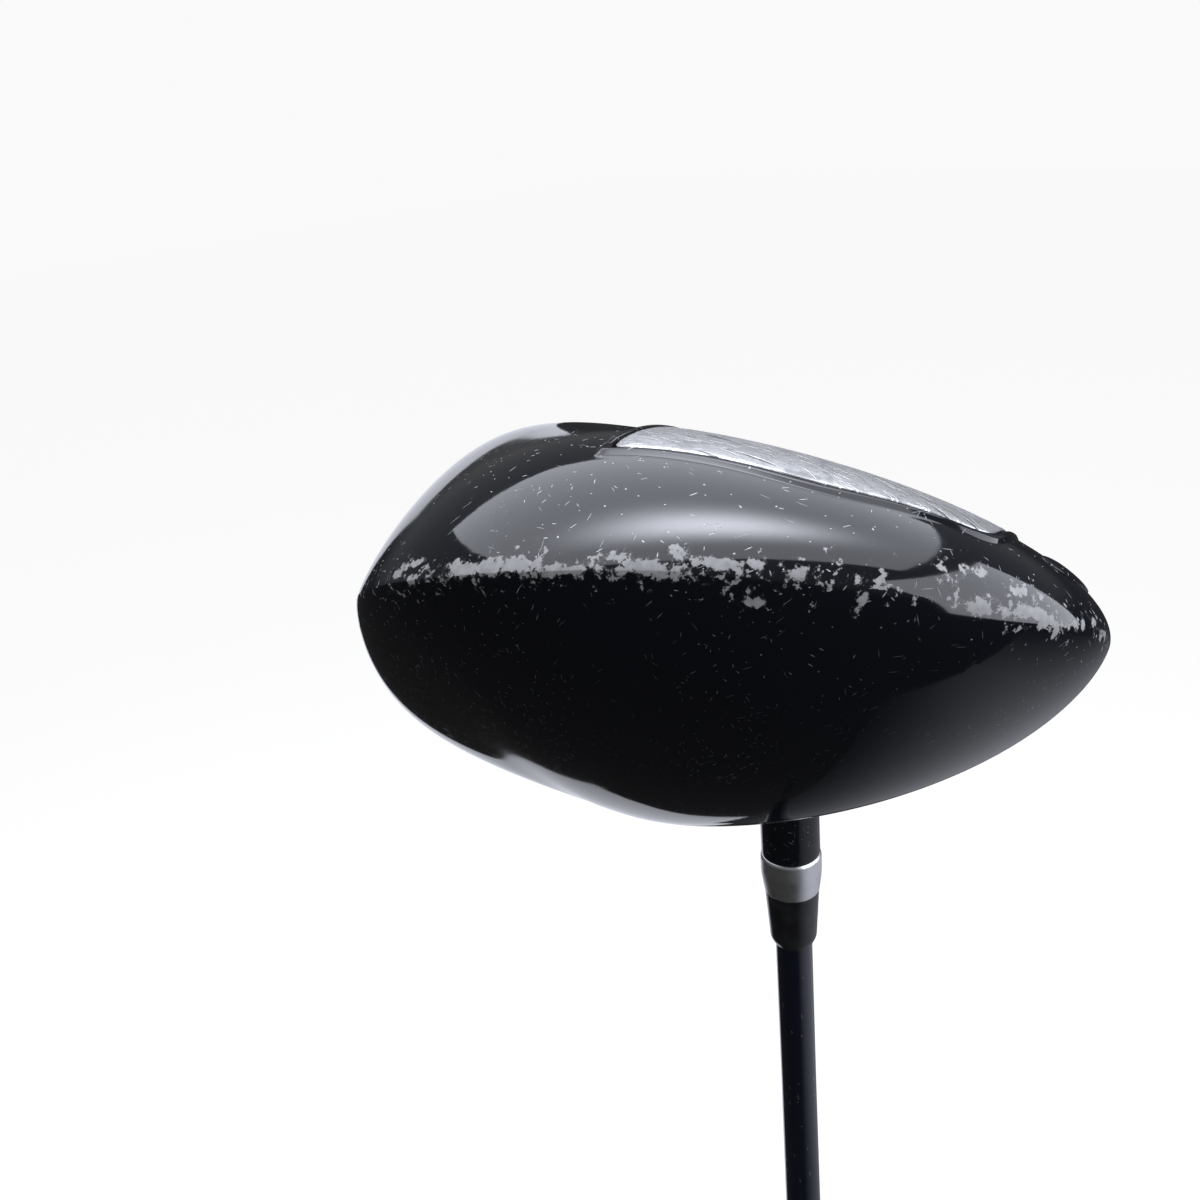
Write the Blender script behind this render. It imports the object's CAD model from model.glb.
import bmesh
import bpy
import numpy as np
from mathutils import Matrix, Vector


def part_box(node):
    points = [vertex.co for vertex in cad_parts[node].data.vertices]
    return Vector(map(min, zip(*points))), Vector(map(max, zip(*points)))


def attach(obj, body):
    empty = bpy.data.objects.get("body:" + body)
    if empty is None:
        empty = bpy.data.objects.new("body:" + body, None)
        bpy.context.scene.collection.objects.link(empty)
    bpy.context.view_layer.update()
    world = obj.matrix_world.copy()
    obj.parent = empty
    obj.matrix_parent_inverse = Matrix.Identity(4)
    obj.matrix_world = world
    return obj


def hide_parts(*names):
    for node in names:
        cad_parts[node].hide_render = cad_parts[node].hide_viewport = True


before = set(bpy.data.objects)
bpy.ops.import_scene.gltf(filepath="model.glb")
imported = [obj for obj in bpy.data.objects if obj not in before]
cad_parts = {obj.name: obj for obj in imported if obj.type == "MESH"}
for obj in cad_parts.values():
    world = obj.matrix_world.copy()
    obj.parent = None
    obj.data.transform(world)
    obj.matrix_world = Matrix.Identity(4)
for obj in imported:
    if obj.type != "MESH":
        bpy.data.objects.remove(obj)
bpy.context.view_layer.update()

# ---- Camera -------------------------------------------------------------------------------------
# A short lens close to the head: it stands above the toe and the trailing edge, looks down across
# them and leaves the shaft running out of the bottom of the picture.
HOSEL_TOP = 0.0805  # from the ground point under the heel up to the hosel's top, along the shaft
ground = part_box("hosel")[0].z + HOSEL_TOP

eye = Vector((0.1937, 0.1538, ground + 0.0859))
forward = Vector((-0.6279, -0.6787, -0.3811)).normalized()
image_down = Vector((0.3267, 0.2146, -0.9204))
right = image_down.cross(forward).normalized()
lens = bpy.data.cameras.new("camera")
lens.sensor_width = 36
lens.lens = 38.26
lens.clip_start, lens.clip_end = 0.01, 100
camera = bpy.data.objects.new("camera", lens)
camera.matrix_world = Matrix.Translation(eye) @ Matrix(
    (right, right.cross(forward), -forward)).transposed().to_4x4()
bpy.context.scene.collection.objects.link(camera)
bpy.context.scene.camera = camera
bpy.context.scene.view_settings.view_transform = "Standard"

# ---- Studio -------------------------------------------------------------------------------------
# A plain pale floor under a pale room, a large soft light overhead with a brighter middle, a soft
# light at the rear side, a pale reflector low on the toe side and a card low beside the shaft. Only
# the lights and a dark room show in the gloss, so that black lacquer stays black.
PALE, FILL, DARK, ABOVE = 0.95, 0.5, 0.03, 0.16
FLOOR, FLOOR_GLOW = 12, 0.84
LIGHT_TINT = (0.93, 0.96, 1.06, 1)
SQUARE = (-1, -1), (1, -1), (1, 1), (-1, 1)


def add(tree, kind, feeds=None, **settings):
    """One shader node: settings are its properties, feeds its inputs (sockets or values)."""
    made = tree.nodes.new("ShaderNode" + kind)
    for key, value in settings.items():
        setattr(made, key, value)
    for key, value in (feeds or {}).items():
        if isinstance(value, bpy.types.NodeSocket):
            tree.links.new(value, made.inputs[key])
        else:
            made.inputs[key].default_value = value
    return made.outputs


def maths(tree, operation, *values):
    return add(tree, "Math", dict(enumerate(values)), operation=operation)[0]


def grey(value):
    return (value, value, value, 1)


room = bpy.data.worlds.new("room")
bpy.context.scene.world = room
room.use_nodes = True
tree = room.node_tree
ray = add(tree, "LightPath")
way = add(tree, "SeparateXYZ", {0: add(tree, "TexCoord")["Generated"]})
horizon = add(tree, "MapRange", {"Value": way[2], 1: -0.05, 2: 0.12, 3: DARK, 4: ABOVE})[0]
seen = add(tree, "MixRGB", {0: ray["Is Glossy Ray"], 1: grey(FILL), 2: horizon})[0]
seen = add(tree, "MixRGB", {0: ray["Is Camera Ray"], 1: seen, 2: grey(PALE)})[0]
tree.links.new(seen, tree.nodes["Background"].inputs["Color"])

floor_mesh = bpy.data.meshes.new("floor")
floor_mesh.from_pydata([(x * FLOOR, y * FLOOR, 0) for x, y in SQUARE], [], [(0, 1, 2, 3)])
floor = bpy.data.objects.new("floor", floor_mesh)
bpy.context.scene.collection.objects.link(floor)
floor_paint = bpy.data.materials.new("floor paint")
floor_paint.use_nodes = True
floor_shader = floor_paint.node_tree.nodes["Principled BSDF"]
floor_shader.inputs["Base Color"].default_value = grey(0.2)
floor_shader.inputs["Roughness"].default_value = 0.9
floor_shader.inputs["Emission Color"].default_value = grey(1)
glow = add(floor_paint.node_tree, "LightPath")["Is Camera Ray"]
glow = maths(floor_paint.node_tree, "MULTIPLY", glow, FLOOR_GLOW)
floor_paint.node_tree.links.new(glow, floor_shader.inputs["Emission Strength"])
floor_mesh.materials.append(floor_paint)
floor.visible_glossy = False

head_middle = Vector((0.045, 0.035, ground + 0.004))


def soft_light(name, azimuth, elevation, distance, width, height, strength, hot=0, hot_size=0.1,
               hot_up=0.0):
    """A flat panel that faces the head from a direction in degrees. Its glow is strength, plus hot
    times a bell curve, hot_size of its own size wide, that far above its middle."""
    az, el = np.radians((azimuth, elevation))
    out = Vector((np.cos(az) * np.cos(el), np.sin(az) * np.cos(el), np.sin(el)))
    turn = out.to_track_quat("Z", "Y").to_matrix().to_4x4()
    mesh = bpy.data.meshes.new(name)
    mesh.from_pydata([(x * width / 2, y * height / 2, 0) for x, y in SQUARE], [], [(0, 3, 2, 1)])
    panel = bpy.data.objects.new(name, mesh)
    panel.matrix_world = Matrix.Translation(head_middle + out * distance) @ turn
    bpy.context.scene.collection.objects.link(panel)
    glow = bpy.data.materials.new(name)
    glow.use_nodes = True
    tree = glow.node_tree
    tree.nodes.remove(tree.nodes["Principled BSDF"])
    spot = add(tree, "VectorMath", {
        0: add(tree, "TexCoord")["Object"], 1: (0.55 / width, 1 / height, 0), 2: (0, -hot_up, 0)},
        operation="MULTIPLY_ADD")[0]
    spot = add(tree, "VectorMath", {0: spot}, operation="LENGTH")["Value"]
    spot = maths(tree, "POWER", maths(tree, "DIVIDE", spot, hot_size), 2)
    spot = maths(tree, "EXPONENT", maths(tree, "MULTIPLY", spot, -1))
    total = maths(tree, "MULTIPLY_ADD", spot, hot, strength)
    light = add(tree, "Emission", {"Color": LIGHT_TINT, "Strength": total})[0]
    tree.links.new(light, tree.nodes["Material Output"].inputs["Surface"])
    mesh.materials.append(glow)
    panel.visible_camera = False
    panel.visible_shadow = False


soft_light("overhead_light", -133, 77, 1.0, 2.0, 1.8, 2.7, hot=13, hot_size=0.1, hot_up=0.1)
soft_light("rear_side_light", 118, 12, 1.3, 1.9, 1.3, 3.4)
soft_light("toe_reflector", -119, -30, 1.2, 0.52, 1.5, 1.0)
soft_light("shaft_card", 145, -53, 0.28, 0.46, 0.36, 0, hot=0.5, hot_size=0.34)

# ---- Crown --------------------------------------------------------------------------------------
# The crown is a thin titanium skin, formed hot, welded to the body and lacquered gloss black with
# it. The head's form is worked out in its address frame (toe, rear, up, in millimetres), by
# direction and by share of the way from the middle to the outline, and turned onto the shaft.
LIE, LOFT = np.radians(58), np.radians(10.5)
CROWN_HEIGHT, CROWN_WALL = 59, 0.8
crown_middle, sole_middle = np.array((51, 25)), np.array((54, 38))
outline_middle = np.array((45.4, 32.4))
HEEL_WAY, HEEL_WIDE = 206, 24   # degrees: the way to the hosel, and how wide it swells the head
EDGE_ANGLE, FACE_EDGE_ANGLE = 78, 58   # degrees up the superellipse to the shells' edges
crown_powers = (1.35, 1.6, 6), (1.7, 1.2, 6)   # run and fall, at the rear, the sides and the face
sole_powers = (2.9, 3.1, 6), (2, 1.4, 5)
SOFT_MIDDLE = 0.2
COLUMNS = 360
around = np.radians(np.linspace(-90, 270, COLUMNS + 1))  # from the face by the toe and the rear


def blend(values, a):
    """One value from three: rear by sine squared, face by its fourth power, sides the rest."""
    rear, face = np.clip(np.sin(a), 0, None) ** 2, np.clip(-np.sin(a), 0, None) ** 4
    return values[0] * rear + values[1] * (1 - rear - face) + values[2] * face


def heel(a):
    """A bell curve round the direction of the hosel."""
    return np.exp(-((np.degrees(a) % 360 - HEEL_WAY) / HEEL_WIDE) ** 2)


def outline(a, inset=0):
    """The head from above: a mean circle, two slow waves round it and a swell at the heel."""
    reach = (55.3 + 3.4 * np.cos(2 * a) + 1.6 * np.sin(2 * a) - 0.3 * np.cos(3 * a)
             - 3.3 * np.sin(3 * a) + 15 * heel(a) - inset)
    return outline_middle + np.stack([reach * np.cos(a), reach * np.sin(a)], -1)


def ridge_height(a):
    """Height of the widest line: up to the toe and the hosel, down to the trailing edge."""
    return (21.4 + 11 * np.cos(a) - 9.5 * np.sin(a) - 2 * np.cos(2 * a) - 4 * np.sin(2 * a)
            + 8 * heel(a))


def run(share, power):
    """A power curve of the share with its middle rounded off, from 0 to 1."""
    soft = SOFT_MIDDLE ** power
    return ((share ** 2 + SOFT_MIDDLE ** 2) ** (power / 2) - soft) / (
        (1 + SOFT_MIDDLE ** 2) ** (power / 2) - soft)


def fall(a, share, powers):
    """Height left at a share of the way out: one minus its run, to one over the second power."""
    return np.clip(1 - run(share, blend(powers[0], a)), 0, None) ** (1 / blend(powers[1], a))


def head_form(a, share, up, inset=0):
    """A point of the head in the address frame: a superellipse dome between its middle and outline,
    leaned back by the loft toward the face. inset moves it inwards."""
    a, share, inset = np.broadcast_arrays(a, share, inset)
    left = fall(a, share, crown_powers if up else sole_powers)
    middle = crown_middle if up else sole_middle
    plan = middle + share[..., None] * (outline(a, inset) - middle)
    low = ridge_height(a)
    z = low + ((CROWN_HEIGHT - inset - low) if up else (inset - low)) * left
    lean = (z - low) * np.tan(LOFT) * blend((0, 0, 1), a) * share
    return np.stack([plan[..., 0], plan[..., 1] + lean, z], -1)


def on_club(p):
    """From the address frame, in millimetres, to the row frame, in metres."""
    toe, rear, up = p[..., 0], p[..., 1], p[..., 2]
    return np.stack([np.sin(LIE) * toe + np.cos(LIE) * up, rear,
                     np.cos(LIE) * toe - np.sin(LIE) * up], -1) / 1000 + np.array((0, 0, ground))


def edge_share(a, powers):
    """The share at which a shell's edge lies: the crown's, or the sole's."""
    angle = EDGE_ANGLE - (EDGE_ANGLE - FACE_EDGE_ANGLE) * blend((0, 0, 1), a)
    return np.sin(np.radians(angle)) ** (2 / blend(powers[0], a))


def share_at(a, left, powers):
    """The share at which that much height is left: the fall turned round."""
    power = blend(powers[0], a)
    soft = SOFT_MIDDLE ** power
    rise = (1 - left ** blend(powers[1], a)) * ((1 + SOFT_MIDDLE ** 2) ** (power / 2) - soft) + soft
    return np.sqrt(rise ** (2 / power) - SOFT_MIDDLE ** 2)


def from_ridge(a, share, up):
    """Millimetres along the surface from the ridge, added up over steps that shrink toward it."""
    steps = 240
    line = head_form(a, 1 - (1 - np.linspace(0, 1, steps + 1)[:, None]) ** 3, up)
    lengths = np.linalg.norm(np.diff(line, axis=0), axis=2)[::-1].cumsum(0)[::-1]
    lengths = np.vstack([lengths, np.zeros(len(a))])
    place = (1 - (1 - np.clip(share, 0, 1)) ** (1 / 3)) * steps
    low = np.minimum(place.astype(int), steps - 1)
    part, column = place - low, np.arange(len(a))
    return lengths[low, column] * (1 - part) + lengths[low + 1, column] * part


ridge_line = head_form(around, 1.0, True)
ridge_along = np.append(0, np.linalg.norm(np.diff(ridge_line, axis=0), axis=1).cumsum())


def surface_maps(a, share, up):
    """Two maps, in millimetres: along and across the ridge, and the surface rolled out flat round
    its middle. Across is positive on the sole."""
    distance = from_ridge(a, share, up)
    spread = from_ridge(a, np.zeros_like(share), False) - distance * (-1 if up else 1)
    along = np.broadcast_to(np.interp(a, around, ridge_along), share.shape)
    return {"ridge": np.stack([along, distance * (-1 if up else 1)], -1),
            "flat": np.stack([spread * np.cos(a), spread * np.sin(a)], -1)}


def doubled(maps):
    """The same maps for a shell's outer and inner grid."""
    return {key: np.stack([value, value]) for key, value in maps.items()}


def grid_cells(rows, columns):
    """Corners of the four-sided faces of a grid of points."""
    number = np.arange(rows * columns).reshape(rows, columns)
    corners = number[:-1, :-1], number[:-1, 1:], number[1:, 1:], number[1:, :-1]
    return np.stack(corners, -1).reshape(-1, 4)


def shell_cells(keep, closed=True):
    """Corners of a shell's faces: the kept cells of an outer grid, the same cells of the inner grid
    turned over, and a wall wherever a kept cell has no kept neighbour."""
    rows, columns = keep.shape
    outer = np.arange((rows + 1) * (columns + 1)).reshape(rows + 1, columns + 1)
    inner = outer + outer.size
    i, j = np.nonzero(keep)
    framed = np.pad(keep, 1)
    if closed:
        framed[:, 0], framed[:, -1] = framed[:, -2], framed[:, 1]
    corners = [(i, j), (i, j + 1), (i + 1, j + 1), (i + 1, j)]
    faces = [np.stack([outer[c] for c in corners], -1),
             np.stack([inner[c] for c in corners[::-1]], -1)]
    for n, (di, dj) in enumerate(((-1, 0), (0, 1), (1, 0), (0, -1))):
        free = ~framed[i + 1 + di, j + 1 + dj]
        start, end = [(c[0][free], c[1][free]) for c in (corners[n], corners[(n + 1) % 4])]
        faces.append(np.stack([outer[end], outer[start], inner[start], inner[end]], -1))
    return np.vstack(faces)


SHARP = np.radians(38)  # edges that turn more than this stay crisp


def build(name, points, cells, material, slot, *nodes, maps=None):
    """A smooth closed piece from points and the corners of its faces. Points that meet, as at a
    seam or a pole, are merged, and a solid that came out inside out is turned."""
    mesh = bpy.data.meshes.new(name)
    mesh.from_pydata(points.reshape(-1, 3).tolist(), [], cells.tolist())
    corner = np.empty(len(mesh.loops), int)
    mesh.loops.foreach_get("vertex_index", corner)
    for key, value in (maps or {}).items():
        mesh.uv_layers.new(name=key).data.foreach_set("uv", value.reshape(-1, 2)[corner].ravel())
    work = bmesh.new()
    work.from_mesh(mesh)
    bmesh.ops.remove_doubles(work, verts=work.verts, dist=1e-6)
    bmesh.ops.delete(work, geom=[v for v in work.verts if not v.link_faces], context="VERTS")
    if work.calc_volume(signed=True) < 0:
        bmesh.ops.reverse_faces(work, faces=work.faces)
    work.to_mesh(mesh)
    work.free()
    mesh.shade_smooth()
    mesh.set_sharp_from_angle(angle=SHARP)
    mesh.materials.append(material)
    piece = bpy.data.objects.new(name, mesh)
    bpy.context.scene.collection.objects.link(piece)
    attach(piece, "root")
    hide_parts(*nodes)
    return piece


def new_group(name, takes, gives):
    """An empty node group with named inputs and outputs: (group, its inputs, its output node)."""
    group = bpy.data.node_groups.new(name, "ShaderNodeTree")
    for way_in, sockets in (("INPUT", takes), ("OUTPUT", gives)):
        for socket, kind in sockets.items():
            group.interface.new_socket(socket, in_out=way_in, socket_type="NodeSocket" + kind)
    return group, group.nodes.new("NodeGroupInput").outputs, group.nodes.new("NodeGroupOutput")


def ramp(tree, value, start, end, low=0.0, high=1.0):
    """low up to start, high from end on, and a smooth step between."""
    return add(tree, "MapRange", {"Value": value, 1: start, 2: end, 3: low, 4: high},
               interpolation_type="SMOOTHSTEP")[0]


def noise(tree, where, scale, detail, **more):
    return add(tree, "TexNoise", {"Vector": where, "Scale": scale, "Detail": detail, **more})[0]


def streaks(tree, where, squeeze, detail, **more):
    """Noise with its grain squeezed by so much along each axis."""
    where = add(tree, "VectorMath", {0: where, 1: squeeze}, operation="MULTIPLY")[0]
    return noise(tree, where, 1.0, detail, **more)


def scratch_group():
    """Short straight scratches: stretched cells, each with one thin streak round its middle, and a
    share of the cells left clean."""
    tree, given, out = new_group(
        "scratches",
        {"Map": "Vector", "Turn": "Float", "Cell": "Float", "Stretch": "Float", "Width": "Float",
         "Keep": "Float"},
        {"Mask": "Float"})
    sway = add(tree, "TexNoise", {"Vector": given["Map"], "Scale": 0.05},
               noise_dimensions="2D")["Color"]
    bent = add(tree, "VectorMath", {0: sway, 1: (5, 5, 0), 2: given["Map"]},
               operation="MULTIPLY_ADD")[0]
    turned = add(tree, "VectorRotate", {"Vector": bent, "Angle": given["Turn"]},
                 rotation_type="Z_AXIS")[0]
    long_side = maths(tree, "MULTIPLY", given["Cell"], given["Stretch"])
    size = add(tree, "CombineXYZ", {0: long_side, 1: given["Cell"], 2: 1.0})[0]
    cells = add(tree, "TexVoronoi", {
        "Vector": add(tree, "VectorMath", {0: turned, 1: size}, operation="DIVIDE")[0],
        "Scale": 1.0}, voronoi_dimensions="2D")
    width = maths(tree, "DIVIDE", given["Width"], given["Cell"])
    streak = maths(tree, "SUBTRACT", 1.0, maths(tree, "DIVIDE", cells["Distance"], width))
    draw = add(tree, "SeparateColor", {0: cells["Color"]})[0]
    kept = maths(tree, "LESS_THAN", draw, given["Keep"])
    tree.links.new(maths(tree, "MULTIPLY", ramp(tree, streak, 0, 0.5), kept), out.inputs["Mask"])
    return tree


scratches = scratch_group()


def scratch_layers(tree, flat, layers):
    """The strongest of several layers: (turn in degrees, cell, stretch, width, share kept)."""
    mask = 0.0
    for turn, cell, stretch, width, keep in layers:
        one = add(tree, "Group", {
            "Map": flat, "Turn": np.radians(turn), "Cell": cell, "Stretch": stretch, "Width": width,
            "Keep": keep}, node_tree=scratches)[0]
        mask = maths(tree, "MAXIMUM", mask, one)
    return mask


# Where the lacquer has come off along the ridge: (along, across, half length, half width), in mm
chip_places = (
    (88.5, 0.9, 2.6, 1.3), (96, 0.9, 5, 1.2), (104.5, 0.3, 5, 0.9), (115, 0.3, 4, 1.0),
    (117.4, 2.0, 1.2, 1.5), (109.3, 1.5, 1.4, 0.5), (123.5, 1.2, 3.2, 0.5), (81, 0.6, 1.6, 0.7),
    (78, 2.6, 1.8, 0.4), (75.6, 1.2, 0.8, 0.6), (127.5, -3.3, 0.8, 0.5), (140.3, -2.2, 0.5, 1.4),
    (139, 1.1, 0.8, 0.6), (132, 0.8, 1.0, 1.0), (150.2, 2.4, 1.1, 0.4), (149.2, 4.8, 0.7, 0.6),
    (153.5, 4.6, 1.1, 0.6), (155, 0.2, 3.4, 0.7), (163.5, 0.9, 5.2, 0.75), (168, -0.5, 0.7, 1.2),
    (160.3, 3.2, 0.7, 0.6), (161.8, 3.3, 0.5, 0.9), (165.2, 3.6, 0.8, 0.4),
    (172.2, 1.1, 0.7, 0.6), (174.3, 1.7, 0.4, 0.6), (178.4, 2.4, 1.3, 0.8), (183, 1.2, 1.8, 0.8))


def chip_group():
    """Chips in the lacquer: named places and a scatter along the ridge, each with an edge broken by
    noise. It gives the bare patches, and a thin rim round them."""
    tree, given, out = new_group("ridge chips", {"Ridge": "Vector", "Position": "Vector"},
                                 {"Bare": "Float", "Rim": "Float"})
    along, across, _ = add(tree, "SeparateXYZ", {0: given["Ridge"]})
    ragged = noise(tree, given["Position"], 0.55, 5.0, Roughness=0.66)
    ragged = maths(tree, "MULTIPLY_ADD", ragged, 6.0, -3.05)
    patch = -9.0
    for middle, height, half_length, half_width in chip_places:
        x = maths(tree, "DIVIDE", maths(tree, "SUBTRACT", along, middle), half_length)
        y = maths(tree, "DIVIDE", maths(tree, "SUBTRACT", across, height), half_width)
        reach = maths(tree, "SQRT", maths(tree, "ADD", maths(tree, "MULTIPLY", x, x),
                                          maths(tree, "MULTIPLY", y, y)))
        inside = maths(tree, "MULTIPLY_ADD", reach, -half_width, half_width)
        patch = maths(tree, "MAXIMUM", patch, inside)
    patch = maths(tree, "ADD", patch, ragged)
    fine = noise(tree, given["Position"], 0.75, 4.0, Roughness=0.6)
    crowd = noise(tree, given["Position"], 0.09, 2.0)
    away = maths(tree, "ABSOLUTE", maths(tree, "SUBTRACT", across, 0.4))
    limit = maths(tree, "MULTIPLY_ADD", away, 0.028, 0.73)
    limit = maths(tree, "MULTIPLY_ADD", crowd, -0.24, limit)
    bare_side = maths(tree, "ADD", ramp(tree, along, 60, 72), ramp(tree, along, 182, 196, 0, -1))
    limit = maths(tree, "MULTIPLY_ADD", bare_side, -0.04, limit)
    scatter = maths(tree, "MULTIPLY", maths(tree, "SUBTRACT", fine, limit), 8.0)
    both = maths(tree, "MAXIMUM", patch, scatter)
    tree.links.new(ramp(tree, both, 0, 0.09), out.inputs["Bare"])
    rim = maths(tree, "MULTIPLY", ramp(tree, both, -0.35, 0), ramp(tree, both, 0.05, 0.5, 1, 0))
    tree.links.new(rim, out.inputs["Rim"])
    return tree


def new_material(name):
    """A material with nodes: (material, tree, the piece's own coordinates in millimetres)."""
    material = bpy.data.materials.new(name)
    material.use_nodes = True
    tree = material.node_tree
    metres = add(tree, "TexCoord")["Object"]
    position = add(tree, "VectorMath", {0: metres, "Scale": 1000.0}, operation="SCALE")[0]
    return material, tree, position


def finished(material, colour, rough, height, depth, **values):
    """The material with its colour, its roughness, bumps so many metres deep and plain values. Their
    names have underscores for spaces."""
    tree = material.node_tree
    shader = tree.nodes["Principled BSDF"]
    bump = add(tree, "Bump", {"Height": height, "Distance": depth})[0]
    for key, socket in (("Base Color", colour), ("Roughness", rough), ("Normal", bump)):
        tree.links.new(socket, shader.inputs[key])
    for key, value in values.items():
        shader.inputs[key.replace("_", " ")].default_value = value
    return material


def layer(tree, under, mask, over):
    """over where the mask is one, under where it is nothing: each a socket, a grey or a colour."""
    paint = {0: mask, 1: under, 2: over}
    for key in (1, 2):
        if not isinstance(paint[key], bpy.types.NodeSocket):
            paint[key] = grey(paint[key]) if np.isscalar(paint[key]) else (*paint[key], 1)
    return add(tree, "MixRGB", paint)[0]


def mix(tree, under, mask, over):
    """The same for plain numbers."""
    return add(tree, "Mix", {0: mask, 2: under, 3: over})[0]


def lacquer_material():
    """Deep gloss black lacquer: faint ripples, fine scratches that show grey, and bare chips along
    the ridge."""
    material, tree, position = new_material("gloss black lacquer")
    ridge = add(tree, "UVMap", uv_map="ridge")[0]
    flat = add(tree, "UVMap", uv_map="flat")[0]
    across = add(tree, "SeparateXYZ", {0: ridge})[1]
    bare, rim = add(tree, "Group", {"Ridge": ridge, "Position": position}, node_tree=chip_group())
    marks = scratch_layers(tree, flat, (
        (14, 1.5, 8, 0.075, 0.26), (-38, 1.8, 6, 0.075, 0.22), (62, 1.6, 5, 0.08, 0.25),
        (101, 2.2, 5, 0.075, 0.22), (-75, 2.8, 3, 0.1, 0.2), (35, 1.7, 1.4, 0.09, 0.26),
        (0, 3.0, 1.1, 0.15, 0.2)))
    below = ramp(tree, across, -6, 2, 0.3, 1)   # few marks on the crown, many on the sole side
    crowd = noise(tree, position, 0.05, 3.0)
    marks = maths(tree, "MULTIPLY", marks,
                  maths(tree, "MULTIPLY", below, ramp(tree, crowd, 0.36, 0.56)))
    hairs = scratch_layers(tree, flat, ((25, 1.6, 16, 0.06, 0.4), (-20, 2.0, 13, 0.06, 0.4),
                                        (80, 1.5, 17, 0.055, 0.4), (-66, 2.4, 10, 0.06, 0.35)))
    hairs = maths(tree, "MULTIPLY", maths(tree, "MULTIPLY", hairs, 0.42), below)
    marks = maths(tree, "MAXIMUM", marks, hairs)
    metal = noise(tree, position, 1.1, 4.0)
    metal = layer(tree, (0.11, 0.11, 0.112), metal, (0.29, 0.29, 0.294))
    colour = layer(tree, (0.0035, 0.004, 0.006), marks, (0.34, 0.35, 0.37))
    colour = layer(tree, colour, maths(tree, "MULTIPLY", rim, 0.35), (0.12, 0.12, 0.12))
    colour = layer(tree, colour, bare, metal)
    smear = noise(tree, position, 0.06, 4.0)
    rough = mix(tree, ramp(tree, smear, 0.35, 0.75, 0.045, 0.10), marks, 0.4)
    rough = mix(tree, rough, bare, 0.46)
    ripple = noise(tree, position, 0.16, 1.0)
    height = maths(tree, "MULTIPLY_ADD", ripple, 0.05, maths(tree, "MULTIPLY", bare, -1.0))
    height = maths(tree, "MULTIPLY_ADD", marks, -0.2, height)
    height = maths(tree, "MULTIPLY_ADD", metal, 0.25, height)
    return finished(material, colour, rough, height, 0.00007, IOR=1.5)


lacquer = lacquer_material()

CROWN_ROWS = 90
share = np.linspace(0, 1, CROWN_ROWS + 1)[:, None] * edge_share(around, crown_powers)
crown_shell = np.stack([on_club(head_form(around, share, True, inset))
                        for inset in (0, CROWN_WALL)])
crown_map = doubled(surface_maps(around, share, True))
build("crown_shell", crown_shell, shell_cells(np.ones((CROWN_ROWS, COLUMNS), bool)), lacquer,
      "gloss_black_crown", "crown", maps=crown_map)

# ---- Body ---------------------------------------------------------------------------------------
# The body is an investment-cast titanium cup: the ridge, the skirt and the sole in one, open at the
# crown and the face. A low bevelled border is cast round the recess that the sole plate lies in.
BODY_WALL, RECESS = 1.2, 1.3
FACE_HALF = 45   # degrees of the face's opening on each side of its middle
# The recess's straight edges: (mm from the sole's middle, direction in degrees)
plate_edges = (33.5, 21), (36.5, 50), (42, 150.7), (11, 285), (34.5, 112)
PLATE_CORNER = 24


def rim_share(a, out=0):
    """Share of the way to the outline at which the recess's rim lies, moved out by so many mm: five
    straight edges joined by round corners, as a power sum."""
    line = outline(a) - sole_middle
    far = np.linalg.norm(line, axis=-1)
    pull = 0
    for edge, degrees in plate_edges:
        turn = np.radians(degrees)
        toward_edge = (line[..., 0] * np.cos(turn) + line[..., 1] * np.sin(turn)) / far
        pull = pull + np.clip(toward_edge / (edge + out), 0, None) ** PLATE_CORNER
    return np.minimum(pull ** (-1 / PLATE_CORNER) / far, 0.985)


# The border's section, from the sole inwards: (mm out from the rim, mm below the sole)
border_section = (
    (1.8, 0), (1.6, -0.01), (1.44, -0.03), (1.34, -0.08), (0.86, -0.5), (0.78, -0.55),
    (0.66, -0.58), (0.52, -0.58), (0.36, -0.56), (0.22, -0.52), (0.13, -0.45), (0.07, -0.34),
    (0.04, -0.2),
    (0.0, RECESS - 0.15), (-0.05, RECESS - 0.04), (-0.2, RECESS), (-1.5, RECESS))


crown_edge_left = fall(around, edge_share(around, crown_powers), crown_powers)
sole_edge = edge_share(around, sole_powers)
sole_edge_left = fall(around, sole_edge, sole_powers)
toward = 1 - (1 - np.linspace(0, 1, 25)) ** 1.5
upper = share_at(around, crown_edge_left * (1 - toward[:, None]), crown_powers)
lower = share_at(around, sole_edge_left * (1 - toward[::-1][1:-1, None]), sole_powers)
to_border = sole_edge + (np.minimum(rim_share(around, 2.0), sole_edge) - sole_edge) * np.linspace(
    0, 1, 57)[:-1, None]
border = np.stack([np.minimum(rim_share(around, out), sole_edge) for out, _ in border_section])
recess_floor = rim_share(around, -1.5) * np.linspace(1, 0, 13)[1:, None]
sole_rows = np.vstack([lower, to_border, border, recess_floor])
sole_depth = np.concatenate([
    np.zeros(len(lower) + len(to_border)), [depth for _, depth in border_section],
    np.full(len(recess_floor), RECESS)])[:, None]


def body_layer(inset):
    above = head_form(around, upper, True, inset)
    below = head_form(around, sole_rows, False, inset + sole_depth)
    return on_club(np.concatenate([above, below]))


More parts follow.
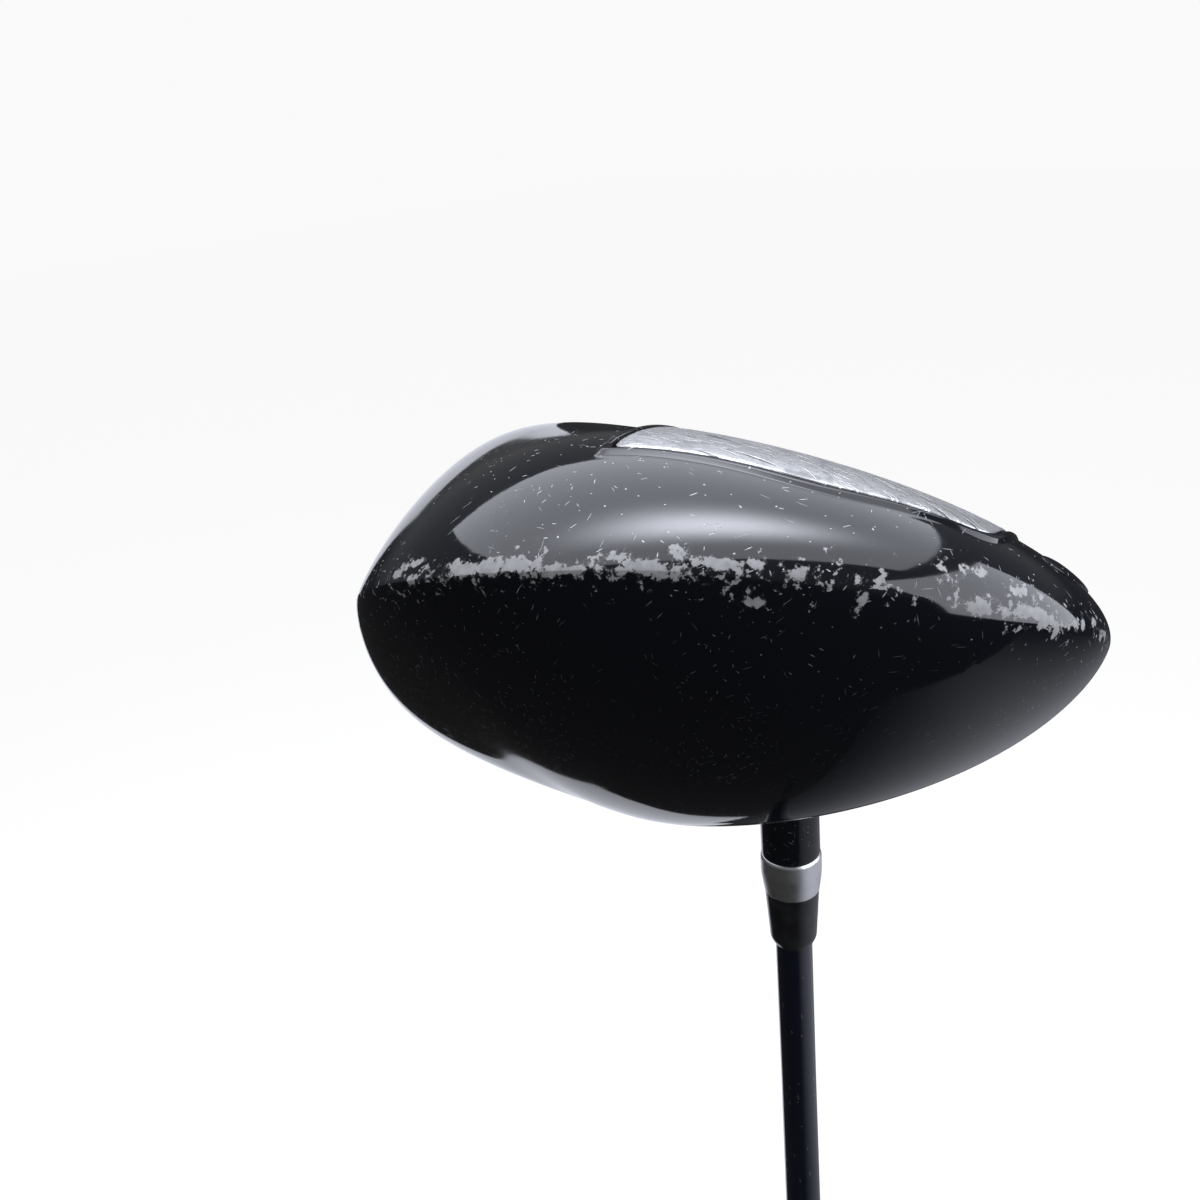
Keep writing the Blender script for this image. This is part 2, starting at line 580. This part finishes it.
body_shell = np.stack([body_layer(inset) for inset in (0, BODY_WALL)])
above, below = surface_maps(around, upper, True), surface_maps(around, sole_rows, False)
body_map = doubled({key: np.concatenate([above[key], below[key]]) for key in above})
cells_middle = np.degrees(around[:-1]) % 360 + 0.5
in_face = np.abs(cells_middle - 270) < FACE_HALF
edge_row = len(upper) + len(lower)
keep_body = np.ones((len(upper) + len(sole_rows) - 1, COLUMNS), bool)
keep_body[:edge_row] = ~in_face
build("body_shell", body_shell, shell_cells(keep_body), lacquer, "gloss_black_body", "body",
      maps=body_map)

# ---- Face plate ---------------------------------------------------------------------------------
# A forged titanium plate, 3 mm thick, welded into the body's front. It is brushed, its score lines
# are milled on both sides of a blasted strike area, and it is not lacquered.
FACE_WALL, FACE_GAP = 3, 0.0016
score_rows = np.arange(-14, 15, 4.0)   # mm above and below the plate's middle
SCORE_DEPTH, SCORE_HALF, SCORE_FROM, SCORE_TO = 0.3, 0.45, 17, 36
FACE_COLUMNS, FACE_ROWS = 150, 240

face_turn = np.linspace(np.radians(-90 - FACE_HALF) + FACE_GAP,
                        np.radians(-90 + FACE_HALF) - FACE_GAP, FACE_COLUMNS + 1)
top_left = fall(face_turn, edge_share(face_turn, crown_powers), crown_powers) * (1 - FACE_GAP)
bottom_left = fall(face_turn, edge_share(face_turn, sole_powers), sole_powers) * (1 - FACE_GAP)
rise = np.linspace(0, 1, FACE_ROWS // 2 + 1)[:, None]
face_above = share_at(face_turn, top_left * rise[::-1], crown_powers)
face_below = share_at(face_turn, bottom_left * rise[1:], sole_powers)


def face_layer(inset):
    return np.concatenate([head_form(face_turn, face_above, True, inset),
                           head_form(face_turn, face_below, False, inset)])


face_front, face_back = face_layer(0), face_layer(FACE_WALL)
face_toe = face_front[..., 0] - 50
face_up = (face_front[..., 2] - 31) / np.cos(LOFT)
nearest = np.abs(face_up[..., None] - score_rows).min(-1)
in_score = np.clip((SCORE_HALF - nearest) / 0.2, 0, 1) * np.clip(
    np.minimum(np.abs(face_toe) - SCORE_FROM, SCORE_TO - np.abs(face_toe)) / 0.5, 0, 1)
face_front[..., 1] += SCORE_DEPTH * in_score
face_maps = doubled({"face": np.stack([face_toe, face_up], -1)})


def face_material():
    """Dark brushed titanium, blasted matt between the score lines, with dark paint worn in them."""
    material, tree, position = new_material("dark brushed titanium")
    spot = add(tree, "UVMap", uv_map="face")[0]
    across, up, _ = add(tree, "SeparateXYZ", {0: spot})
    brush = streaks(tree, spot, (0.12, 5.0, 1), 5.0)
    blast = maths(tree, "ADD", maths(tree, "POWER", maths(tree, "DIVIDE", across, 16.0), 4.0),
                  maths(tree, "POWER", maths(tree, "DIVIDE", up, 17.0), 4.0))
    blast = ramp(tree, blast, 0.8, 1.1, 1, 0)
    sand = noise(tree, position, 3.0, 3.0)
    hits = scratch_layers(tree, spot, ((5, 2.2, 12, 0.1, 0.4), (86, 2.6, 7, 0.1, 0.4)))
    colour = layer(tree, (0.075, 0.078, 0.083), brush, (0.15, 0.154, 0.16))
    colour = layer(tree, colour, maths(tree, "MULTIPLY", blast, 0.6), (0.045, 0.046, 0.048))
    colour = layer(tree, colour, hits, (0.3, 0.3, 0.31))
    rough = mix(tree, ramp(tree, brush, 0.2, 0.8, 0.28, 0.42), blast, 0.62)
    height = mix(tree, maths(tree, "MULTIPLY", brush, 0.4), blast, sand)
    return finished(material, colour, rough, height, 0.00004, Metallic=1.0)


build("face_plate_front", np.stack([on_club(face_front), on_club(face_back)]),
      shell_cells(np.ones((FACE_ROWS // 2 * 2, FACE_COLUMNS), bool), closed=False), face_material(),
      "face_metal", "face_plate", maps=face_maps)

# ---- Hosel --------------------------------------------------------------------------------------
# The hosel is cast with the body: a short black collar round the shaft's bore that runs down into
# the heel in a hollow curve, tight on the heel's side and wide on the side of the toe and the rear.
HOSEL_R, BORE_R, BORE_END, NECK_COLUMNS = 6.6, 4.45, 27, 120
round_about = np.linspace(0, 2 * np.pi, NECK_COLUMNS + 1)


def crown_at(toe, rear):
    """Height of the crown over a plan point. The direction of the outline behind the point is found
    by repeating: go out from the crown's middle to the reach of the last direction."""
    plan = np.stack([toe, rear], -1) - crown_middle
    far = np.linalg.norm(plan, axis=-1)
    way = plan / far[..., None]
    offset = crown_middle - outline_middle
    a = np.arctan2(plan[..., 1] + offset[1], plan[..., 0] + offset[0])
    for _ in range(30):
        reach = np.linalg.norm(outline(a) - outline_middle, axis=-1)
        along = way @ offset
        out = -along + np.sqrt(along ** 2 + reach ** 2 - offset @ offset)
        point = offset + way * out[..., None]
        a = np.arctan2(point[..., 1], point[..., 0])
    share = far / out
    left = fall(a, np.minimum(share, 1), crown_powers)
    low = ridge_height(a)
    return np.where(share < 1, low + (CROWN_HEIGHT - low) * left, -99)


def meets_crown(radius):
    """How far above the ground point each line parallel to the shaft, at a radius from its axis,
    meets the crown: the middle of a bracket, halved again and again."""
    x, y = radius * np.cos(round_about), radius * np.sin(round_about)
    inside, outside = np.full(x.shape, 24.0), np.full(x.shape, 72.0)
    for _ in range(30):
        s = (inside + outside) / 2
        clear = np.cos(LIE) * x + np.sin(LIE) * s > crown_at(np.sin(LIE) * x - np.cos(LIE) * s, y)
        inside, outside = np.where(clear, inside, s), np.where(clear, s, outside)
    return (inside + outside) / 2


def tube_point(radius, s):
    """Points in metres on a circle round the shaft's axis, s mm above the ground point."""
    radius, s = np.broadcast_arrays(radius, s, np.zeros(len(round_about)))[:2]
    return np.stack([radius * np.cos(round_about), radius * np.sin(round_about),
                     ground * 1000 - s], -1) / 1000


hollow = 2.0 + 8.0 * ((1 + np.cos(round_about - np.radians(35))) / 2) ** 1.3
foot = meets_crown(HOSEL_R + hollow)
slope = (foot - meets_crown(HOSEL_R + hollow - 0.3)) / 0.3
corner = foot - slope * hollow
start = corner + 3 + 1.5 * hollow
t = np.linspace(0, 1, 33)[:, None]
bend_r = HOSEL_R + hollow * t ** 2
bend_s = (1 - t) ** 2 * start + 2 * t * (1 - t) * corner + t ** 2 * foot - 0.02 * t
top = HOSEL_TOP * 1000
bore_section = (0, BORE_END), (BORE_R, BORE_END), (BORE_R, top - 0.1), (BORE_R + 0.1, top)
lip = (0.3, 0), (0.22, 0.02), (0.1, 0.08), (0.03, 0.18), (0, 0.32), (0, 1)   # mm inwards and down
neck = np.array([
    *(tube_point(r, s) for r, s in bore_section),
    *(tube_point(HOSEL_R - r, top - s) for r, s in lip),
    *tube_point(bend_r, bend_s),
    tube_point(HOSEL_R + hollow - 0.6, foot - slope * 0.6 - 1.2),
    tube_point(5.0, 26.0), tube_point(0, 25.5)])
neck_down = np.append(np.zeros((1, NECK_COLUMNS + 1)),
                      np.linalg.norm(np.diff(neck, axis=0), axis=2).cumsum(0), 0) * 1000
neck_turn = np.broadcast_to(round_about * HOSEL_R, neck_down.shape)
neck_maps = {"ridge": np.stack([neck_turn * 0 - 60, neck_down * 0 - 8], -1),
             "flat": np.stack([neck_turn, neck_down], -1)}
build("hosel_collar", neck, grid_cells(len(neck), NECK_COLUMNS + 1), lacquer, "gloss_black_body",
      "hosel", maps=neck_maps)

# ---- Trim ring and ferrule ----------------------------------------------------------------------
# A turned and polished aluminium ring sits on the hosel's end, and the black acetate ferrule above
# it is buffed down flush to the shaft. Both are glued on and never move.
SIDES = 96
to_round = np.linspace(0, 2 * np.pi, SIDES + 1)


def softened(corners, steps=7):
    """A closed section with round corners: each (radius, height, rounding) becomes a curve that
    starts and ends that far from it, with one more point before and behind to hold the flats."""
    c = np.array(corners, float)
    p, size = c[:, :2], c[:, 2:]
    back, ahead = np.roll(p, 1, 0) - p, np.roll(p, -1, 0) - p
    back_way = back / np.linalg.norm(back, axis=1, keepdims=True)
    ahead_way = ahead / np.linalg.norm(ahead, axis=1, keepdims=True)
    t = np.linspace(0, 1, steps)[None, :, None]
    curve = ((1 - t) ** 2 * (p + back_way * size)[:, None] + 2 * t * (1 - t) * p[:, None]
             + t ** 2 * (p + ahead_way * size)[:, None])
    held = [(p + back_way * size * 1.5)[:, None], curve, (p + ahead_way * size * 1.5)[:, None]]
    return np.concatenate(held, 1).reshape(-1, 2)


def turned(name, section, material, slot, *nodes):
    """A piece turned on the shaft's axis from its section of radii and heights. Its map is the way
    round and the way along the section, in millimetres."""
    section = np.vstack([section, section[:1]])
    r, z = section[:, :1], section[:, 1:]
    points = np.stack([r * np.cos(to_round), r * np.sin(to_round), z + 0 * to_round], -1)
    down = np.append(0, np.linalg.norm(np.diff(section, axis=0), axis=1).cumsum()) * 1000
    widest = section[:, 0].max() * 1000
    flat = np.stack(np.broadcast_arrays(to_round[None] * widest, down[:, None]), -1)
    return build(name, points, grid_cells(len(section), SIDES + 1), material, slot, *nodes,
                 maps={"flat": flat})


def polished_material():
    """Polished aluminium with the fine rings of turning, small nicks and a faint haze."""
    material, tree, position = new_material("polished aluminium")
    flat = add(tree, "UVMap", uv_map="flat")[0]
    rings = streaks(tree, position, (0.02, 0.02, 9.0), 3.0)
    haze = noise(tree, position, 0.25, 3.0)
    nicks = scratch_layers(tree, flat, ((20, 2.0, 8, 0.08, 0.35), (-50, 2.2, 6, 0.07, 0.3)))
    colour = layer(tree, (0.72, 0.73, 0.75), haze, (0.84, 0.845, 0.86))
    colour = layer(tree, colour, nicks, (0.35, 0.35, 0.36))
    rough = maths(tree, "ADD", ramp(tree, haze, 0.3, 0.7, 0.3, 0.4),
                  maths(tree, "MULTIPLY", nicks, 0.3))
    return finished(material, colour, rough, rings, 0.000006, Metallic=1.0)


def buffed_material(name, colour, roughness, depth):
    """Moulded and buffed black plastic or rubber: fine swirls, dull patches and a faint grain."""
    material, tree, position = new_material(name)
    grain = noise(tree, position, 4.0, 3.0)
    patch = noise(tree, position, 0.18, 4.0)
    lighter = tuple(c * 2.2 + 0.004 for c in colour)
    colour = layer(tree, colour, ramp(tree, patch, 0.4, 0.8), lighter)
    rough = ramp(tree, patch, 0.3, 0.7, roughness * 0.8, roughness * 1.3)
    return finished(material, colour, rough, grain, depth)


def ends(node):
    """A node's lowest and highest point, in metres."""
    return [corner.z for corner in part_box(node)]


ring_low, ring_high = ends("trim_ring")
ferrule_low, ferrule_high = ends("ferrule")
RING_R, RING_SHAFT_R, TIP_R, FERRULE_R = 0.0069, 0.00625, 0.00425, 0.00535
ring_mid = (ring_low + ring_high) / 2
turned("trim_ring_polished", softened((
    (0.00445, ring_high, 0.0001), (0.0066, ring_high, 0.00015),
    (RING_R, ring_high - 0.0006, 0.0003), (RING_R, ring_mid, 0.0012),
    (RING_SHAFT_R, ring_low, 0.00025), (0.00445, ring_low, 0.0001))),
    polished_material(), "polished_ring", "trim_ring")
turned("ferrule_buffed", softened((
    (TIP_R, ferrule_high, 0.0001), (RING_SHAFT_R - 0.00008, ferrule_high, 0.00018),
    (FERRULE_R, ferrule_low + 0.0016, 0.0005), (TIP_R + 0.00035, ferrule_low, 0.00012),
    (TIP_R, ferrule_low, 0.00005))),
    buffed_material("buffed black acetate", (0.006, 0.0063, 0.007), 0.2, 0.000004),
    "ferrule_black", "ferrule")

# ---- Sole plate ---------------------------------------------------------------------------------
# A satin aluminium plate bonded into the recess with tape: it stands a little proud, its edge is
# rounded over, and the ground has scratched it from the face towards the trailing edge.
PLATE_GAP, PLATE_PROUD, TAPE = 0.34, 0.4, 0.2
PLATE_TOP = -RECESS - PLATE_PROUD
plate_section = (   # (mm out from the recess's rim, mm below its floor)
    (-1.1, PLATE_TOP), (-0.75, PLATE_TOP), (-0.62, -RECESS - 0.39), (-0.46, -RECESS - 0.34),
    (-0.36, -RECESS - 0.22), (-PLATE_GAP, -RECESS - 0.05), (-PLATE_GAP, -TAPE), (-0.5, -TAPE))
plate_in = rim_share(around, plate_section[0][0]) * np.linspace(0, 1, 61)[:-1, None]
plate_edge = np.stack([rim_share(around, out) for out, _ in plate_section])
plate_under = rim_share(around, plate_section[-1][0]) * np.linspace(1, 0, 25)[1:, None]
plate_share = np.vstack([plate_in, plate_edge, plate_under])
plate_lift = np.concatenate([
    np.full(len(plate_in), PLATE_TOP), [depth for _, depth in plate_section],
    np.full(len(plate_under), -TAPE)])[:, None]
plate_points = on_club(head_form(around, plate_share, False, RECESS + plate_lift))
sole_plan = head_form(around, plate_share, False)[..., :2]


def plate_material():
    """Satin aluminium: brushed from heel to toe, scuffed grey, and scored across by the ground."""
    material, tree, position = new_material("satin aluminium")
    plan = add(tree, "UVMap", uv_map="plan")[0]
    brush = streaks(tree, plan, (0.25, 6.0, 1), 4.0)
    scored = streaks(tree, plan, (3.2, 0.16, 1), 5.0, Roughness=0.65)
    blotch = noise(tree, position, 0.3, 5.0, Roughness=0.65)
    marks = scratch_layers(tree, plan, (
        (82, 1.0, 22, 0.12, 0.7), (97, 1.2, 18, 0.12, 0.7), (60, 1.6, 12, 0.11, 0.5),
        (118, 1.6, 12, 0.11, 0.5), (10, 2.4, 8, 0.12, 0.3), (0, 2.2, 1.3, 0.2, 0.5)))
    gouges = scratch_layers(tree, plan, ((88, 2.0, 14, 0.26, 0.45), (74, 2.6, 10, 0.3, 0.35)))
    colour = layer(tree, (0.27, 0.274, 0.28), ramp(tree, blotch, 0.35, 0.62), (0.62, 0.625, 0.63))
    dull = ramp(tree, scored, 0.5, 0.66)
    colour = layer(tree, colour, maths(tree, "MULTIPLY", dull, 0.75), 0.2)
    colour = layer(tree, layer(tree, colour, marks, 0.85), gouges, 0.13)
    rough = mix(tree, ramp(tree, blotch, 0.3, 0.7, 0.5, 0.3), dull, 0.6)
    rough = mix(tree, rough, marks, 0.25)
    height = maths(tree, "MULTIPLY", brush, 0.25)
    height = maths(tree, "MULTIPLY_ADD", scored, -0.9, height)
    height = maths(tree, "MULTIPLY_ADD", marks, -0.6, height)
    height = maths(tree, "MULTIPLY_ADD", gouges, -1.4, height)
    return finished(material, colour, rough, height, 0.00006, Metallic=1.0)


build("sole_plate_satin", plate_points, grid_cells(len(plate_share), COLUMNS + 1), plate_material(),
      "satin_plate", "sole_plate", maps={"plan": sole_plan})

# ---- Rear pad -----------------------------------------------------------------------------------
# A low lens of painted tungsten alloy on the trailing edge of the sole draws the weight back. It is
# glued on and lacquered over with the body.
PAD_LIFT = 0.55
pad_turn = np.radians(np.linspace(84, 110, 61))
pad_rows = np.linspace(-1, 1, 41)[:, None]
pad_middle = edge_share(pad_turn, sole_powers) - 0.125
pad_x = (pad_turn - pad_turn.mean()) / (pad_turn[-1] - pad_turn.mean())
pad_bulge = np.clip(1 - np.abs(pad_x) ** 2.4, 0, 1) ** 0.5
pad_share = pad_middle + 0.05 * pad_rows * pad_bulge
pad_high = np.clip(1 - np.abs(pad_rows) ** 2.6, 0, 1) ** 0.45 * pad_bulge
pad_shell = np.stack([on_club(head_form(pad_turn, pad_share, False, -PAD_LIFT * pad_high)),
                      on_club(head_form(pad_turn, pad_share, False, 0.1 * pad_high))])
pad_maps = doubled(surface_maps(pad_turn, pad_share, False))
build("rear_pad", pad_shell, shell_cells(np.ones((40, 60), bool), closed=False), lacquer,
      "rear_pad", "rear_weight", maps=pad_maps)

# ---- Shaft --------------------------------------------------------------------------------------
# A tapered tube of carbon fibre in epoxy, painted near-black blue under a clear gloss. A plain foil
# band lies under the gloss round its middle.
SHAFT_WALL = 0.0011
shaft_low, shaft_high = ends("shaft")
butt_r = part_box("shaft")[1].x
taper_end = shaft_high - 0.12
taper = np.linspace(0, 1, 60)[:, None]
outside = np.array((butt_r, shaft_low)) + taper * np.array((TIP_R - butt_r, taper_end - shaft_low))
tube = np.vstack([outside, [(TIP_R, z) for z in np.linspace(taper_end, shaft_high, 12)[1:]],
                  [(TIP_R - SHAFT_WALL, shaft_high), (TIP_R - SHAFT_WALL, taper_end),
                   (butt_r - SHAFT_WALL, shaft_low)]])


def shaft_material():
    """Near-black blue paint over fibre, a deep clear gloss, fine marks along it and faint bands."""
    material, tree, position = new_material("blue black shaft")
    flat = add(tree, "UVMap", uv_map="flat")[0]
    fibre = streaks(tree, position, (2.2, 2.2, 0.05), 3.0)
    marks = scratch_layers(tree, flat, ((84, 1.8, 14, 0.07, 0.3), (70, 2.2, 8, 0.07, 0.25),
                                        (5, 3.0, 3, 0.1, 0.2)))
    colour = layer(tree, (0.002, 0.0026, 0.006), fibre, (0.004, 0.0055, 0.014))
    colour = layer(tree, colour, marks, (0.2, 0.21, 0.24))
    smear = noise(tree, position, 0.07, 3.0)
    rough = mix(tree, ramp(tree, smear, 0.3, 0.7, 0.10, 0.17), marks, 0.4)
    return finished(material, colour, rough, fibre, 0.000008, Coat_Roughness=0.05, Coat_Weight=0.6)


def foil_material():
    """Thin silver foil under clear gloss, with the faint creases of a hand-laid band."""
    material, tree, position = new_material("silver foil")
    crease = streaks(tree, position, (0.3, 0.3, 0.06), 4.0)
    colour = layer(tree, (0.28, 0.285, 0.295), crease, (0.44, 0.445, 0.455))
    rough = ramp(tree, crease, 0.3, 0.7, 0.24, 0.36)
    return finished(material, colour, rough, crease, 0.00001, Metallic=1.0, Coat_Weight=1.0,
                    Coat_Roughness=0.04)


turned("shaft_tube", tube, shaft_material(), "shaft_blue_black", "shaft")


def shaft_at(z):
    """Outer radius of the tapered shaft at a height."""
    return np.interp(z, (shaft_low, taper_end), (butt_r, TIP_R))


band_low, band_high = ends("shaft_band")
BAND_EDGE, BAND_THICK = 0.006, 0.00005
band_height = np.concatenate([
    np.linspace(band_low, band_low + BAND_EDGE, 3),
    np.linspace(band_low + BAND_EDGE + 0.0015, band_high - BAND_EDGE - 0.0015, 24),
    np.linspace(band_high - BAND_EDGE, band_high, 3)])
band_out = np.stack([shaft_at(band_height) + BAND_THICK, band_height], -1)
band_in = np.stack([shaft_at(band_height[::-1]) - BAND_THICK, band_height[::-1]], -1)
turned("shaft_foil_band", np.vstack([band_out, band_in]), foil_material(), "foil_band",
       "shaft_band")

# ---- Grip ---------------------------------------------------------------------------------------
# A moulded rubber sleeve slid over two-sided tape: rows of slanting cuts all the way round, plain
# bands near its mouth and its end, and a smooth cap with the small hole that lets the air out.
grip_low, grip_high = ends("grip")
GRIP_COLUMNS, GRIP_ROWS, CUT = 160, 560, 0.00035
grip_heights = grip_low + np.array((0, 0.007, 0.053, 0.143, 0.223, 0.258, 0.261))
grip_radii = np.array((12.9, 12.6, 11.9, 10.6, 9.3, 8.9, 8.6)) / 1000
grip_turn = np.linspace(0, 2 * np.pi, GRIP_COLUMNS + 1)
up_grip = np.linspace(0, 1, GRIP_ROWS + 1)[:, None]


def grip_surface(turn, up):
    """Radius over height and direction: a smooth taper, less a cut where two slanting waves cross
    their crests, more a bead at the mouth."""
    z = grip_low + up * (grip_high - grip_low)
    mm = (z - grip_low) * 1000
    r = np.interp(z, grip_heights, grip_radii)
    rows = mm / 5.2
    slant = np.where(np.floor(rows) % 2 > 0, 1, -1)
    along = (rows % 1 - 0.5) * 2
    dash = np.cos(26 * turn + slant * along * 1.5)
    cut = np.clip((dash - 0.72) / 0.16, 0, 1) * np.clip((0.72 - np.abs(along)) / 0.12, 0, 1)
    plain = ((mm > 8) & (mm < 34)) | ((mm > 44) & (mm < 226)) | ((mm > 234) & (mm < 252))
    ring = np.exp(-((mm - 39) / 0.7) ** 2) + np.exp(-((mm - 230) / 0.7) ** 2)
    r = r - CUT * cut * plain - CUT * 1.2 * ring
    end = np.clip((z - (grip_high - 0.0016)) / 0.0016, 0, 1)
    r = r - (1 - np.sqrt(1 - end ** 2)) * 0.0009
    return np.stack([r * np.cos(turn), r * np.sin(turn), z + 0 * turn], -1)


grip_skin = grip_surface(grip_turn, up_grip)
inner_low, inner_high = shaft_at(grip_low) + 0.0003, shaft_at(grip_high)
circle = np.stack([np.cos(grip_turn), np.sin(grip_turn)], -1)
mouth = np.concatenate([circle * inner_high, np.full((GRIP_COLUMNS + 1, 1), grip_high)], -1)
bottom = np.concatenate([circle * inner_low, np.full((GRIP_COLUMNS + 1, 1), grip_low)], -1)
grip_points = np.concatenate([grip_skin, mouth[None], bottom[None], grip_skin[:1]])
grip_along = np.linspace(0, 268, len(grip_points))[:, None]
grip_map = np.stack(np.broadcast_arrays(grip_turn[None] * 11, grip_along), -1)
build("grip_rubber", grip_points, grid_cells(len(grip_points), GRIP_COLUMNS + 1),
      buffed_material("moulded grip rubber", (0.011, 0.011, 0.0115), 0.6, 0.00005),
      "grip_rubber", "grip", maps={"flat": grip_map})
CAP_R, CAP_T, CAP_GRIP_R, VENT_R = 0.0135, 0.007, 0.0129, 0.0015
cap_rubber = buffed_material("smooth cap rubber", (0.012, 0.012, 0.0125), 0.5, 0.00002)
turned("grip_cap_smooth", softened((
    (VENT_R, 0.0, 0.0004), (CAP_R - 0.0022, 0.0, 0.0012), (CAP_R, 0.0019, 0.0012),
    (CAP_R, 0.0046, 0.0008), (CAP_GRIP_R, CAP_T, 0.0003), (butt_r, CAP_T, 0.0001),
    (butt_r, shaft_low, 0.0001),
    (VENT_R, shaft_low, 0.0001))), cap_rubber, "cap_rubber", "grip_cap")

# ---- Inner pieces -------------------------------------------------------------------------------
# What the head and the shaft hold inside, and the little bar on the plate: they keep their meshes,
# and get the finish of the stuff that each is made of.


def plain_material(name, colour, roughness, grain, metallic):
    """A plain stuff: two tones of its colour in a grain of so many per millimetre, and a bump."""
    material, tree, position = new_material(name)
    grains = noise(tree, position, grain, 4.0)
    darker = tuple(c * 0.7 for c in colour)
    colour = layer(tree, darker, ramp(tree, grains, 0.35, 0.65), colour)
    rough = ramp(tree, grains, 0.3, 0.7, roughness * 0.85, roughness * 1.15)
    return finished(material, colour, rough, grains, 0.00003, Metallic=metallic)


inner_stuffs = (
    (("plate_inlay",), "satin enamel", (0.012, 0.012, 0.013), 0.35, 2.0, 0.0),
    (("sole_plate_tape",), "foam tape", (0.70, 0.66, 0.55), 0.8, 1.5, 0.0),
    (("epoxy_sleeve",), "amber epoxy", (0.50, 0.36, 0.15), 0.25, 0.6, 0.0),
    (("toe_weight", "heel_weight"), "sintered tungsten", (0.26, 0.26, 0.27), 0.5, 2.5, 1.0),
    (("sound_ribs",), "raw titanium", (0.36, 0.37, 0.38), 0.5, 1.8, 1.0),
    (("hot_melt",), "hot melt resin", (0.62, 0.50, 0.26), 0.4, 0.4, 0.0),
    (("crown_bond_bead",), "weld bead", (0.30, 0.30, 0.31), 0.45, 0.9, 1.0),
    (("tip_plug",), "soft rubber", (0.03, 0.03, 0.03), 0.7, 2.0, 0.0),
    (("tip_weight",), "turned brass", (0.62, 0.44, 0.17), 0.3, 1.2, 1.0),
    (("grip_tape",), "paper tape", (0.75, 0.72, 0.62), 0.85, 1.2, 0.0),
)
for nodes, name, colour, roughness, grain, metallic in inner_stuffs:
    stuff = plain_material(name, colour, roughness, grain, metallic)
    for node in nodes:
        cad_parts[node].data.materials.clear()
        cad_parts[node].data.materials.append(stuff)
